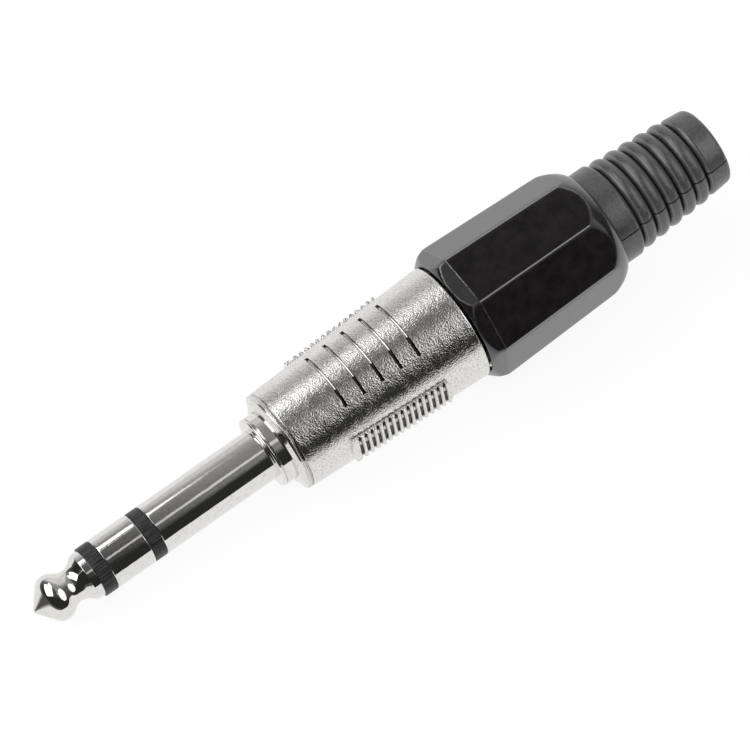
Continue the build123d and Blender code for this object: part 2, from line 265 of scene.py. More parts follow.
polished_nickel, tree, shader, along = plug_material("polished_nickel")
wear = use_group(tree, plating_wear, {"Vector": along, "Haze Low": 0.035, "Haze High": 0.09})
set_inputs(
    tree,
    shader,
    {
        "Base Color": blend(tree, wear["Stain"], (0.80, 0.785, 0.76, 1), (0.62, 0.60, 0.57, 1)),
        "Roughness": wear["Roughness"],
        "Normal": bumped(tree, wear["Height"], strength=0.5, distance=0.000008),
        "Metallic": 1.0,
    },
)
tip = placed_piece(
    "tip_turning",
    turned_mesh(
        [
            (nose_end, 0, 0),
            nose_corner,
            ball_corner,
            neck_corner,
            (skirt_front, skirt_r, 0.08),
            (skirt_rear, skirt_r, 0.05),
            (skirt_rear, rod_r, 0),
            (tip_lug_rear, rod_r, 0),
            (tip_lug_rear, rivet_head_r, 0.1),
            (rivet_rear, rod_r, 0.2),
            (rivet_rear, 0, 0),
        ],
        steps=16,
    ),
    polished_nickel,
)
stand_for(tip, "tip", "plug")

# Contact shank: black insulating rings
# Moulded rings between the contacts. They are turned down with the shank, which leaves them a
# little under its surface, with fine marks along the plug.
insulator_r = 3.155
rings = {
    "tip_insulator": (skirt_rear, -22.08, 0.92),
    "ring_insulator": (-16.8, -15.3, 1.81),
}


def colour_steps(tree, value, stops):
    """A colour from a value, through stops of (position, red, green, blue)."""
    node = add_node(tree, "ShaderNodeValToRGB", {"Fac": value})
    elements = node.color_ramp.elements
    while len(elements) < len(stops):
        elements.new(0.5)
    for element, (position, *colour) in zip(elements, stops):
        element.position = position
        element.color = (*colour, 1)
    return node.outputs["Color"]


insulator_black, tree, shader, along = plug_material("insulator_black")
marks_place = stretched(tree, along, (0.35, 5.0, 5.0))
marks = noise(tree, marks_place, scale=1.0, detail=4.0, roughness=0.7)
set_inputs(
    tree,
    shader,
    {
        "Base Color": colour_steps(
            tree, marks, ((0.42, 0.006, 0.006, 0.006), (0.66, 0.055, 0.055, 0.055))
        ),
        "Normal": bumped(tree, marks, strength=0.5, distance=0.00006),
        "Roughness": 0.42,
        "Specular IOR Level": 0.38,
    },
)
for node, (front, rear, bore) in rings.items():
    ring = turned_mesh(
        [
            (front, bore, 0),
            (front, insulator_r, 0.03),
            (rear, insulator_r, 0.03),
            (rear, bore, 0),
        ],
        steps=2,
    )
    piece = placed_piece(node + "_moulding", ring, insulator_black)
    stand_for(piece, node, "plug")

# Contact shank: ring contact
# Turned and plated ring with the thin tube that runs back inside the sleeve to its solder lug,
# where its end is rolled over.
shank_r = 3.175
shank_bevel = 0.14
ring_front = rings["tip_insulator"][1]
ring_rear = rings["ring_insulator"][0]
ring_bore = 1.34
ring_tube_r = 1.79
ring_lug_rear = 7.94
ring_lip = 0.35
ring_contact = placed_piece(
    "ring_turning",
    turned_mesh(
        [
            (ring_front, ring_bore, 0),
            (ring_front, shank_r - shank_bevel, 0),
            (ring_front + shank_bevel, shank_r, 0.05),
            (ring_rear - shank_bevel, shank_r, 0.05),
            (ring_rear, shank_r - shank_bevel, 0),
            (ring_rear, ring_tube_r, 0),
            (ring_lug_rear, ring_tube_r, 0),
            (ring_lug_rear, ring_tube_r + ring_lip, 0.1),
            (ring_lug_rear + ring_lip, ring_tube_r + ring_lip, 0.1),
            (ring_lug_rear + ring_lip, ring_bore, 0),
        ],
        steps=4,
    ),
    polished_nickel,
)
stand_for(ring_contact, "ring_contact", "plug")

# Contact shank: sleeve
# Turned and plated sleeve. Its collar is two polished rings with a fine groove between them, and
# the flange behind, inside the shell, stops it from being pulled out forwards.
sleeve_front = rings["ring_insulator"][1]
sleeve_bore = 2.23
collar_r = 4.45
groove_front = 0.32
groove_rear = 0.46
groove_depth = 0.35
flange_front = 4.24
flange_rear = 5.84
flange_r = 5.4
spigot_r = 2.9
spigot_rear = 6.44
sleeve = placed_piece(
    "sleeve_turning",
    turned_mesh(
        [
            (sleeve_front, sleeve_bore, 0),
            (sleeve_front, shank_r - shank_bevel, 0),
            (sleeve_front + shank_bevel, shank_r, 0.05),
            (0, shank_r, 0.1),
            (0, collar_r, 0.22),
            (groove_front, collar_r, 0.05),
            (groove_front, collar_r - groove_depth, 0),
            (groove_rear, collar_r - groove_depth, 0),
            (groove_rear, collar_r, 0.05),
            (flange_front, collar_r, 0),
            (flange_front, flange_r, 0),
            (flange_rear, flange_r, 0),
            (flange_rear, spigot_r, 0),
            (spigot_rear, spigot_r, 0),
            (spigot_rear, sleeve_bore, 0),
        ]
    ),
    polished_nickel,
)
stand_for(sleeve, "sleeve_contact", "plug")

# Shell
# Die-cast zinc with a satin, grainy nickel plate. The barrel is a slow cone with a ridged grip
# pad on each side, engraved lines on the two broad faces and a threaded neck for the cap.
collar_gap = 0.02
shell_front = 1.74
nose_ring_r = 5.1
nose_chamfer_rear = 2.16
nose_chamfer_r = 5.75
rim_front = 2.3
rim_rear = 2.48
rim_r = 6.22
rim_groove_r = 6.05
cone_front = 2.76
cone_rear = 26.93
cone_end = 26.74
cone_front_r = 6.27
cone_rear_r = 7.31
cone_slope = (cone_rear_r - cone_front_r) / (cone_rear - cone_front)
neck_r = 6.38
neck_rear = 35.23
shell_bore = 5.45
shell_roll = math.radians(5.5)
weld_distance = 0.0005
pad_start = 8.28
pad_length = 12.89
pad_front_point = 0.38
pad_rear_point = 0.64
pad_width = 4.3
pad_height = 0.24
pad_root = 1.1
pad_margin = 0.02
notch_count = 15
first_notch = 9.25
ridge_pitch = 0.815
ridge_depth = 0.42
notch_share = 0.68
pad_middle = pad_start + pad_length / 2
half_run = (notch_count - 1) * ridge_pitch / 2
line_first = 9.8
line_pitch = 2.525
line_count = 5
line_depth = 0.23
line_tool_r = 0.2
line_span = math.radians(75)
line_margin = 0.04
line_bright_middle = 0.55
line_bright_half = 2.4
key_length = 2.0
key_width = 1.6
key_reach = 8.0
key_past_end = 1.0
# Levels of the painted shade across the notches of the near grip pad.
notch_shade_levels = ((0.04, 0.2), (0.13, 1.0), (0.58, 1.0), (0.66, 0.2), (0.73, 0.2), (0.79, 1.0))


def calc(tree, operation, *values):
    """The result of one calculation with sockets and numbers."""
    return add_node(tree, "ShaderNodeMath", dict(enumerate(values)), operation=operation).outputs["Value"]


def separated(tree, place):
    """The three parts of a place."""
    return add_node(tree, "ShaderNodeSeparateXYZ", {"Vector": place}).outputs


def from_axis(tree, parts):
    """Distance from the plug's axis."""
    across = add_node(tree, "ShaderNodeCombineXYZ", {"Y": parts["Y"], "Z": parts["Z"]})
    return add_node(
        tree, "ShaderNodeVectorMath", {0: across.outputs["Vector"]}, operation="LENGTH"
    ).outputs["Value"]


def grey_steps(tree, value, levels):
    """A grey from a value, through (position, level) stops."""
    return colour_steps(tree, value, [(position, level, level, level) for position, level in levels])


# The casting's grain and bumps, with painted shade in its engraved lines and grip pad notches given out as Shade.
casting, cast_in, cast_out = plain_group(
    "casting grain and painted shade",
    {
        "Vector": None,
        "Grain Scale": 5.0,
        "Cone Front Radius": cone_front_r - cone_slope * cone_front,
        "Cone Slope": cone_slope,
        "Pad Turn": (shell_roll, 0, 0),
        "Pad Height": pad_height,
        "Pad Half Width": pad_width / 2 - pad_margin,
        "Ridges Middle": first_notch + half_run,
        "Ridges Half Run": half_run + ridge_pitch / 2,
    },
    ("Height", "Recess", "Stain", "Shade"),
)
grain = noise(
    casting, cast_in["Vector"], scale=cast_in["Grain Scale"], detail=2.5, roughness=0.55
)
patches = noise(casting, cast_in["Vector"], scale=0.9, detail=3.0, roughness=0.6)
rough_height = calc(casting, "MULTIPLY", grain, mapped(casting, patches, 0.35, 0.65, 0.55, 1.0))
place = separated(casting, cast_in["Vector"])
cone_here = calc(
    casting, "MULTIPLY_ADD", place["X"], cast_in["Cone Slope"], cast_in["Cone Front Radius"]
)
depth = calc(casting, "SUBTRACT", cone_here, from_axis(casting, place))
recess = mapped(casting, depth, 0.04, 0.08)
on_pad = add_node(
    casting, "ShaderNodeMapping", {"Vector": cast_in["Vector"], "Rotation": cast_in["Pad Turn"]}
)
pad_place = separated(casting, on_pad.outputs["Vector"])
# Painted shade in the engraved lines: their walls are darkened, and so are their floors away from a middle stretch
# across the plug, less at the upper ends and weaker near the shell's front.
line_middle = calc(casting, "COMPARE", pad_place["Y"], line_bright_middle, line_bright_half)
line_end_shade = calc(
    casting,
    "MULTIPLY",
    calc(casting, "SUBTRACT", 1.0, line_middle),
    mapped(casting, pad_place["Y"], 0.0, 1.0, 1.0, 0.45),
)
line_painted_shade = calc(casting, "MAXIMUM", mapped(casting, depth, 0.12, 0.17, 1.0, 0.0), line_end_shade)
in_line = calc(
    casting,
    "MULTIPLY",
    calc(casting, "LESS_THAN", depth, line_depth + line_margin),
    mapped(casting, place["X"], 5.0, 6.0, 0.35, 1.0),
)
line_shade = calc(casting, "MULTIPLY", calc(casting, "MULTIPLY", recess, in_line), line_painted_shade)
pad_face = calc(casting, "ADD", cone_here, cast_in["Pad Height"])
notch_depth = calc(casting, "SUBTRACT", pad_face, calc(casting, "ABSOLUTE", pad_place["Y"]))
in_pad = calc(
    casting,
    "MULTIPLY",
    calc(casting, "COMPARE", pad_place["Z"], 0.0, cast_in["Pad Half Width"]),
    calc(casting, "COMPARE", pad_place["X"], cast_in["Ridges Middle"], cast_in["Ridges Half Run"]),
)
# Painted shade in the notches of the grip pads: whole on the far pad, in bands across the near one, deeper than
# 0.1 mm under the pad's face.
pad_across = mapped(casting, pad_place["Z"], -pad_width / 2, pad_width / 2)
near_pad_shade = grey_steps(casting, pad_across, notch_shade_levels)
far_pad = calc(casting, "GREATER_THAN", pad_place["Y"], 0.0)
pad_shade = calc(casting, "MAXIMUM", far_pad, near_pad_shade)
notch_shade = calc(casting, "MULTIPLY", mapped(casting, notch_depth, 0.1, 0.2), pad_shade)
set_inputs(
    casting,
    cast_out,
    {
        "Height": calc(casting, "MULTIPLY", rough_height, calc(casting, "SUBTRACT", 1.0, recess)),
        "Recess": recess,
        "Stain": mapped(casting, grain, 0.3, 0.55, 1.0, 0.0),
        "Shade": calc(casting, "MAXIMUM", line_shade, calc(casting, "MULTIPLY", notch_shade, in_pad)),
    },
)

cast_nickel, tree, shader, along = plug_material("cast_nickel")
cast = use_group(tree, casting, {"Vector": along})
plate_colour = blend(tree, cast["Stain"], (0.83, 0.81, 0.775, 1), (0.56, 0.54, 0.515, 1))
set_inputs(
    tree,
    shader,
    {
        # Painted shade: the base colour goes near black where the group gives Shade.
        "Base Color": blend(tree, cast["Shade"], plate_colour, (0.03, 0.029, 0.028, 1)),
        "Roughness": mapped(tree, cast["Recess"], 0.0, 1.0, 0.15, 0.1),
        "Normal": bumped(tree, cast["Height"], strength=1.0, distance=0.00005),
        "Metallic": 1.0,
    },
)


def cone_radius(distance):
    """Radius of the shell's cone at a distance along the plug."""
    return cone_front_r + cone_slope * (distance - cone_front)


shell_mesh = turned_mesh(
    [
        (shell_front, collar_r + collar_gap, 0),
        (shell_front, nose_ring_r, 0.08),
        (nose_chamfer_rear, nose_chamfer_r, 0.1),
        (rim_front, nose_chamfer_r, 0),
        (rim_front, rim_r, 0.08),
        (rim_rear, rim_r, 0.05),
        (rim_rear, rim_groove_r, 0),
        (cone_front, rim_groove_r, 0),
        (cone_front, cone_front_r, 0.08),
        (cone_end, cone_rear_r, 0.15),
        (cone_end, neck_r, 0),
        (neck_rear, neck_r, 0.3),
        (neck_rear, shell_bore, 0),
        (flange_front, shell_bore, 0),
        (flange_front, collar_r + collar_gap, 0),
    ],
    sides=256,
    steps=4,
)
shell = placed_piece("shell_casting", shell_mesh, cast_nickel)
shell.data.transform(to_row.inverted())


def shape_tree(name, inputs):
    """A geometry node tree with named inputs, of which the one without a value is a material."""
    tree = bpy.data.node_groups.new(name, "GeometryNodeTree")
    tree.interface.new_socket("Geometry", in_out="OUTPUT", socket_type="NodeSocketGeometry")
    kinds = {int: "NodeSocketInt", float: "NodeSocketFloat", type(None): "NodeSocketMaterial"}
    for label, value in inputs.items():
        socket = tree.interface.new_socket(label, in_out="INPUT", socket_type=kinds[type(value)])
        if value is not None:
            socket.default_value = value
    return tree, tree.nodes.new("NodeGroupInput").outputs


def end_tree(tree, geometry, material):
    """Ends a geometry node tree with real geometry in one material."""
    real = add_node(tree, "GeometryNodeRealizeInstances", {"Geometry": geometry})
    finish = add_node(
        tree, "GeometryNodeSetMaterial", {"Geometry": real.outputs["Geometry"], "Material": material}
    )
    set_inputs(tree, tree.nodes.new("NodeGroupOutput"), {"Geometry": finish.outputs["Geometry"]})


def grown_mesh(name, tree, values):
    """Runs a geometry node tree with its inputs set and gives back a plain mesh."""
    holder = new_object(name, bpy.data.meshes.new(name))
    modifier = holder.modifiers.new(name, "NODES")
    modifier.node_group = tree
    for item in tree.interface.items_tree:
        if item.item_type == "SOCKET" and item.in_out == "INPUT" and item.name in values:
            modifier[item.identifier] = values[item.name]
    graph = bpy.context.evaluated_depsgraph_get()
    result = bpy.data.meshes.new_from_object(holder.evaluated_get(graph))
    bpy.data.objects.remove(holder)
    return result


def row_of(tree, count, pitch):
    """Points in a row along the plug."""
    step = add_node(tree, "ShaderNodeCombineXYZ", {"X": pitch})
    return add_node(
        tree,
        "GeometryNodeMeshLine",
        {"Count": count, "Offset": step.outputs["Vector"]},
        mode="OFFSET",
    ).outputs["Mesh"]


def swept_bar(tree, path, radius, sides):
    """A round bar along a curve."""
    profile = add_node(tree, "GeometryNodeCurvePrimitiveCircle", {"Resolution": sides, "Radius": radius})
    values = {"Curve": path, "Profile Curve": profile.outputs["Curve"], "Fill Caps": True}
    return add_node(tree, "GeometryNodeCurveToMesh", values).outputs["Mesh"]


def cut_or_join(target, tool_mesh, operation):
    """Applies one exact boolean to an object in place and throws the tool away."""
    tool = new_object("tool", tool_mesh)
    modifier = target.modifiers.new("boolean", "BOOLEAN")
    modifier.operation = operation
    modifier.solver = "EXACT"
    modifier.object = tool
    graph = bpy.context.evaluated_depsgraph_get()
    result = bpy.data.meshes.new_from_object(target.evaluated_get(graph))
    target.modifiers.clear()
    target.data = result
    bpy.data.objects.remove(tool)


def prism(plan, low, high):
    """A closed prism mesh from a plan of (x, z) points, between two heights along Y."""
    shape = bmesh.new()
    lower = [shape.verts.new((x, low, z)) for x, z in plan]
    upper = [shape.verts.new((x, high, z)) for x, z in plan]
    shape.faces.new(lower)
    shape.faces.new(upper)
    for index in range(len(plan)):
        after = (index + 1) % len(plan)
        shape.faces.new((lower[index], lower[after], upper[after], upper[index]))
    bmesh.ops.recalc_face_normals(shape, faces=shape.faces)
    data = bpy.data.meshes.new("prism")
    shape.to_mesh(data)
    shape.free()
    return data


notch_tree, given = shape_tree(
    "ridge notches",
    {"Count": 15, "Pitch": 0.8, "Face Share": 0.65, "Width": 4.0, "Depth": 0.4, "Material": None},
)
triangle_half_base = 0.866
face_width = calc(notch_tree, "MULTIPLY", given["Pitch"], given["Face Share"])
notch_prism = add_node(
    notch_tree,
    "GeometryNodeMeshCylinder",
    {"Vertices": 3, "Radius": 1.0, "Depth": given["Width"]},
    fill_type="NGON",
)
notch_size = add_node(
    notch_tree,
    "ShaderNodeCombineXYZ",
    {"X": given["Depth"], "Y": calc(notch_tree, "MULTIPLY", face_width, triangle_half_base), "Z": 1.0},
)
notch_shape = add_node(
    notch_tree,
    "GeometryNodeTransform",
    {"Geometry": notch_prism.outputs["Mesh"], "Scale": notch_size.outputs["Vector"]},
)
notch_copies = add_node(
    notch_tree,
    "GeometryNodeInstanceOnPoints",
    {
        "Points": row_of(notch_tree, given["Count"], given["Pitch"]),
        "Instance": notch_shape.outputs["Geometry"],
        "Rotation": (0, 0, math.pi / 2),
    },
)
end_tree(notch_tree, notch_copies.outputs["Instances"], given["Material"])
notches = grown_mesh(
    "ridge_notches",
    notch_tree,
    {
        "Count": notch_count,
        "Pitch": ridge_pitch,
        "Face Share": notch_share,
        "Width": pad_width * 2,
        "Depth": ridge_depth,
        "Material": cast_nickel,
    },
)
notch_floor = max(vertex.co.y for vertex in notches.vertices)
notches.transform(
    Matrix.Translation((first_notch - pad_middle, ridge_depth - pad_height - notch_floor, 0))
)
pad_plan = [
    (-pad_length / 2, pad_width / 2),
    (-pad_length / 2 - pad_front_point, 0),
    (-pad_length / 2, -pad_width / 2),
    (pad_length / 2, -pad_width / 2),
    (pad_length / 2 + pad_rear_point, 0),
    (pad_length / 2, pad_width / 2),
]
pad = new_object("pad", prism(pad_plan, -pad_height, pad_root))
cut_or_join(pad, notches, "DIFFERENCE")
pad_lean = math.atan2(cone_rear_r - cone_front_r, cone_rear - cone_front)
for turn in (0, math.pi):
    side_pad = pad.data.copy()
    side_pad.transform(
        Matrix.Rotation(turn, 4, "X")
        @ Matrix.Translation((pad_middle, -cone_radius(pad_middle), 0))
        @ Matrix.Rotation(-pad_lean, 4, "Z")
    )
    cut_or_join(shell, side_pad, "UNION")
bpy.data.objects.remove(pad)

line_tree, given = shape_tree(
    "engraved lines",
    {
        "Count": 5,
        "Pitch": 2.5,
        "Radius": 6.5,
        "Growth": 0.0,
        "Span": 1.3,
        "Tool Radius": 0.2,
        "Material": None,
    },
)
half_span = calc(line_tree, "MULTIPLY", given["Span"], 0.5)
line_arc = add_node(
    line_tree,
    "GeometryNodeCurveArc",
    {
        "Resolution": 40,
        "Radius": given["Radius"],
        "Start Angle": calc(line_tree, "SUBTRACT", math.pi, half_span),
        "Sweep Angle": given["Span"],
    },
)
line_number = add_node(line_tree, "GeometryNodeInputIndex").outputs["Index"]
line_copies = add_node(
    line_tree,
    "GeometryNodeInstanceOnPoints",
    {
        "Points": row_of(line_tree, given["Count"], given["Pitch"]),
        "Instance": swept_bar(line_tree, line_arc.outputs["Curve"], given["Tool Radius"], 16),
        "Rotation": (0, math.pi / 2, 0),
        "Scale": calc(line_tree, "MULTIPLY_ADD", line_number, given["Growth"], 1.0),
    },
)
end_tree(line_tree, line_copies.outputs["Instances"], given["Material"])
line_radius = cone_radius(line_first) - line_depth + line_tool_r
line_cutters = grown_mesh(
    "engraved_lines",
    line_tree,
    {
        "Count": line_count,
        "Pitch": line_pitch,
        "Radius": line_radius,
        "Growth": cone_slope * line_pitch / line_radius,
        "Span": line_span,
        "Tool Radius": line_tool_r,
        "Material": cast_nickel,
    },
)
line_cutters.transform(Matrix.Translation((line_first, 0, 0)))
for turn in (0, math.pi):
    side_lines = line_cutters.copy()
    side_lines.transform(Matrix.Rotation(turn, 4, "X"))
    cut_or_join(shell, side_lines, "DIFFERENCE")
key_plan = [
    (neck_rear - key_length, -key_width / 2),
    (neck_rear + key_past_end, -key_width / 2),
    (neck_rear + key_past_end, key_width / 2),
    (neck_rear - key_length, key_width / 2),
]
cut_or_join(shell, prism(key_plan, -key_reach, key_reach), "DIFFERENCE")
shell_shape = bmesh.new()
shell_shape.from_mesh(shell.data)
bpy.data.objects.remove(shell)
bmesh.ops.remove_doubles(shell_shape, verts=shell_shape.verts, dist=weld_distance)
bmesh.ops.rotate(
    shell_shape, verts=shell_shape.verts, cent=(0, 0, 0), matrix=Matrix.Rotation(-shell_roll, 3, "X")
)
shell = placed_piece("shell_casting", shell_shape, cast_nickel)
stand_for(shell, "shell", "plug")

# Shell: thread of the neck
# A rounded right-handed thread with a pitch of 1 mm runs round the neck, which shows when the cap
# is screwed off. Its crest is 14 mm across.
thread_pitch = 1.0
thread_turns = 7.0
thread_ridge_r = 0.34
neck_thread_front = 27.75
neck_thread_r = 6.62

thread_tree, given = shape_tree(
    "screw thread", {"Turns": 7.0, "Pitch": 1.0, "Radius": 6.6, "Ridge Radius": 0.3, "Material": None}
)
thread_path = add_node(
    thread_tree,
    "GeometryNodeCurveSpiral",
    {
        "Resolution": 72,
        "Rotations": given["Turns"],
        "Start Radius": given["Radius"],
        "End Radius": given["Radius"],
        "Height": calc(thread_tree, "MULTIPLY", given["Turns"], given["Pitch"]),
    },
)
thread_body = swept_bar(thread_tree, thread_path.outputs["Curve"], given["Ridge Radius"], 10)
thread_turned = add_node(
    thread_tree, "GeometryNodeTransform", {"Geometry": thread_body, "Rotation": (0, math.pi / 2, 0)}
)
end_tree(thread_tree, thread_turned.outputs["Geometry"], given["Material"])


def thread_piece(name, front, radius, material):
    """One thread from its front end, as an object in the row's frame."""
    grown = grown_mesh(
        name,
        thread_tree,
        {
            "Turns": thread_turns,
            "Pitch": thread_pitch,
            "Radius": radius,
            "Ridge Radius": thread_ridge_r,
            "Material": material,
        },
    )
    grown.transform(Matrix.Translation((front, 0, 0)))
    shape = bmesh.new()
    shape.from_mesh(grown)
    bmesh.ops.recalc_face_normals(shape, faces=shape.faces)
    return placed_piece(name, shape, material)


shell_thread = thread_piece("shell_thread", neck_thread_front, neck_thread_r, cast_nickel)
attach(shell_thread, "plug")

# Cap
# Octagonal screw cap moulded in glossy black plastic, with a bevelled front, a round rear and
# crisp, slightly rounded edges, whose pale lines are partly rubbed wear and partly painted
# highlight. Inside are the thread, the cone for the chuck and a snap groove.
cap_front = 26.99
cap_mouth_r = 7.45
front_round_rear = 27.85
front_round_r = 8.42
front_round_power = 0.85
facet_front = 28.73
facet_front_r = 8.84
facet_rear = 44.38
facet_rear_r = 8.2
cap_rear = 47.2
rear_round_power = 0.54
front_apothem = 8.06
bevel_apothem = 7.55
rear_apothem = 7.56
bevel_slope = (front_apothem - bevel_apothem) / (facet_front - cap_front)
facet_slope = (rear_apothem - front_apothem) / (facet_rear - facet_front)
cap_sides = 8
facet_turn = 2 * math.pi / cap_sides
corner_power = 90
bevel_edge = 30
edge_reach = 0.3
cap_bore = 7.05
cap_bore_rear = 36.48
bore_bevel = 0.25
chuck_cone = ((37.23, 6.0), (42.23, 4.95))
cable_way_front = 42.66
cable_way_r = 4.4
snap_groove_front = 43.76
snap_groove_rear = 45.75
snap_groove_r = 6.87
cap_hole = 6.17
# Width of the pale line at the bevel, partly rubbed wear and partly painted highlight.
pale_line_width = 0.06
front_crease_reach = 0.77
rear_crease_reach = 0.92
top_facet_half = 3.0

cap_plastic, tree, shader, along = plug_material("cap_plastic")
mould_wave = noise(tree, along, scale=0.5, detail=3.0, roughness=0.5)
rub = noise(tree, along, scale=2.5, detail=6.0, roughness=0.7)
film = noise(tree, along, scale=0.7, detail=6.0, roughness=0.65)
dust = blend(
    tree, mapped(tree, film, 0.35, 0.65), (0.008, 0.007, 0.007, 1), (0.016, 0.014, 0.014, 1)
)
place = separated(tree, along)
out_here = from_axis(tree, place)
from_flat = calc(tree, "PINGPONG", calc(tree, "ARCTAN2", place["Z"], place["Y"]), facet_turn / 2)
flat_here = calc(tree, "MULTIPLY", out_here, calc(tree, "COSINE", from_flat))
long_edge = calc(
    tree,
    "MULTIPLY",
    mapped(tree, from_flat, facet_turn / 2 - 0.013, facet_turn / 2 - 0.005),
    calc(
        tree, "COMPARE", place["X"], (facet_front + facet_rear) / 2, (facet_rear - facet_front) / 2
    ),
)


def crease_line(round_limit, flat_limit, middle, reach):
    """Mask of the line where a turned end of the cap meets its flats."""
    under_round = calc(tree, "SUBTRACT", round_limit, out_here)
    under_flat = calc(tree, "SUBTRACT", flat_limit, flat_here)
    both = mapped(tree, calc(tree, "MINIMUM", under_round, under_flat), 0.025, 0.05)
    return calc(tree, "MULTIPLY", both, calc(tree, "COMPARE", place["X"], middle, reach))


def flats_at(slope):
    """Distance from the axis to the flats of one slope, which meet where the bevel starts."""
    return calc(tree, "MULTIPLY_ADD", place["X"], slope, front_apothem - slope * facet_front)


mouth_rise = calc(
    tree, "POWER", mapped(tree, place["X"], cap_front, front_round_rear), front_round_power
)
mouth_limit = calc(tree, "MULTIPLY_ADD", mouth_rise, front_round_r - cap_mouth_r, cap_mouth_r)
bevel_rise = mapped(
    tree, place["X"], front_round_rear, facet_front, 0.0, facet_front_r - front_round_r
)
front_crease = crease_line(
    calc(tree, "ADD", mouth_limit, bevel_rise),
    flats_at(bevel_slope),
    front_round_rear,
    front_crease_reach,
)
bevel_line = calc(tree, "COMPARE", place["X"], facet_front, pale_line_width)
rear_fall = calc(
    tree, "POWER", mapped(tree, place["X"], facet_rear, cap_rear, 1.0, 0.0), rear_round_power
)
rear_crease = crease_line(
    calc(tree, "MULTIPLY_ADD", rear_fall, facet_rear_r - cap_hole, cap_hole),
    flats_at(facet_slope),
    facet_rear + rear_crease_reach,
    rear_crease_reach,
)
creases = calc(
    tree,
    "MAXIMUM",
    calc(tree, "MAXIMUM", front_crease, bevel_line),
    calc(tree, "MULTIPLY", rear_crease, 0.45),
)
# Painted highlight: the crease lines are strongest across the top and bottom facets, and patchy with the rub
# noise.
top_highlight_share = calc(
    tree,
    "MULTIPLY",
    mapped(tree, place["Y"], -top_facet_half, 0.0, 0.2, 1.0),
    mapped(tree, place["Y"], top_facet_half, top_facet_half + 0.4, 1.0, 0.35),
)
patchy = calc(tree, "MULTIPLY", top_highlight_share, mapped(tree, rub, 0.42, 0.52, 0.3, 1.0))
# Pale edges, partly rubbed wear and partly painted highlight.
rubbed_and_highlit_edge = calc(tree, "MAXIMUM", long_edge, calc(tree, "MULTIPLY", creases, patchy))
facing = add_node(tree, "ShaderNodeLayerWeight", {"Blend": 0.5}).outputs["Facing"]
set_inputs(
    tree,
    shader,
    {
        "Base Color": blend(tree, rubbed_and_highlit_edge, dust, (0.24, 0.235, 0.23, 1)),
        "Roughness": mapped(tree, rub, 0.35, 0.75, 0.1, 0.24),
        "Specular IOR Level": mapped(tree, facing, 0.12, 0.55, 0.1, 1.0),
        "Normal": bumped(tree, mould_wave, strength=0.3, distance=0.0001),
        "IOR": 1.76,
    },
)


def cap_round(distance):
    """Radius of the turned envelope that rounds the octagon's front and rear ends."""
    if distance < front_round_rear:
        share = (distance - cap_front) / (front_round_rear - cap_front)
        return cap_mouth_r + (front_round_r - cap_mouth_r) * share**front_round_power
    if distance < facet_front:
        share = (distance - front_round_rear) / (facet_front - front_round_rear)
        return front_round_r + (facet_front_r - front_round_r) * share
    if distance < facet_rear:
        share = (distance - facet_front) / (facet_rear - facet_front)
        return facet_front_r + (facet_rear_r - facet_front_r) * share
    fall = (distance - facet_rear) / (cap_rear - facet_rear)
    return cap_hole + (facet_rear_r - cap_hole) * (1 - fall) ** rear_round_power


def cap_flat(distance):
    """Distance from the axis to the octagon's flats, with a soft edge where the bevel starts."""
    flats = [front_apothem + slope * (distance - facet_front) for slope in (bevel_slope, facet_slope)]
    low = min(flats)
    return low - math.log(sum(math.exp(-bevel_edge * (flat - low)) for flat in flats)) / bevel_edge


def stretch(front, rear, steps, spread=1.0):
    """Distances from front to just before rear, closer together at the front with a spread."""
    return [front + (rear - front) * (step / steps) ** spread for step in range(steps)]


def cap_mesh():
    """Octagon cut by the turned envelope, with all edges slightly rounded, and the turned inside."""
    stations = stretch(cap_front, front_round_rear, 14, 1.5)
    stations += stretch(front_round_rear, facet_front - edge_reach, 6)
    stations += stretch(facet_front - edge_reach, facet_front + edge_reach, 16)
    stations += stretch(facet_front + edge_reach, facet_rear, 24)
    rear_steps = 32
    for step in range(rear_steps + 1):
        share = math.sin(math.pi / 2 * step / rear_steps)
        stations.append(facet_rear + (cap_rear - facet_rear) * share)
    facet_steps = 56
    turns = []
    for facet in range(cap_sides):
        for step in range(facet_steps):
            spread = math.sin(math.pi / 2 * (2 * step / facet_steps - 1))
            turns.append((facet + spread / 2) * facet_turn)
    mesh = bmesh.new()
    rings = []
    for distance in stations:
        flat = cap_flat(distance)
        ring = []
        for turn in turns:
            off_flat = (turn + facet_turn / 2) % facet_turn - facet_turn / 2
            beside = facet_turn - abs(off_flat)
            limits = (cap_round(distance), flat / math.cos(off_flat), flat / math.cos(beside))
            radius = sum(limit**-corner_power for limit in limits) ** (-1 / corner_power)
            ring.append(mesh.verts.new((distance, radius * math.cos(turn), radius * math.sin(turn))))
        rings.append(ring)
    inside = [
        (cap_rear, cap_hole),
        (snap_groove_rear, cap_hole),
        (snap_groove_rear, snap_groove_r),
        (snap_groove_front, snap_groove_r),
        (snap_groove_front, cable_way_r),
        (cable_way_front, cable_way_r),
        chuck_cone[1],
        chuck_cone[0],
        (cap_bore_rear, cap_bore),
        (cap_front + bore_bevel, cap_bore),
        (cap_front, cap_bore + bore_bevel),
    ]
    for distance, radius in inside:
        ring = []
        for turn in turns:
            ring.append(mesh.verts.new((distance, radius * math.cos(turn), radius * math.sin(turn))))
        rings.append(ring)
    for index, front in enumerate(rings):
        rear = rings[(index + 1) % len(rings)]
        for side in range(len(turns)):
            after = (side + 1) % len(turns)
            mesh.faces.new((front[side], front[after], rear[after], rear[side]))
    bmesh.ops.recalc_face_normals(mesh, faces=mesh.faces)
    return mesh


cap = placed_piece("cap_moulding", cap_mesh(), cap_plastic, crease=40.0)
stand_for(cap, "cap", "cap")

# Cap: thread of the bore
# The same rounded thread, moulded in the cap's black plastic. It runs half a turn behind the
# neck's, so that the two lie side by side.
bore_thread_front = neck_thread_front + thread_pitch / 2
bore_thread_r = 7.06
cap_thread = thread_piece("cap_thread", bore_thread_front, bore_thread_r, cap_plastic)
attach(cap_thread, "cap")

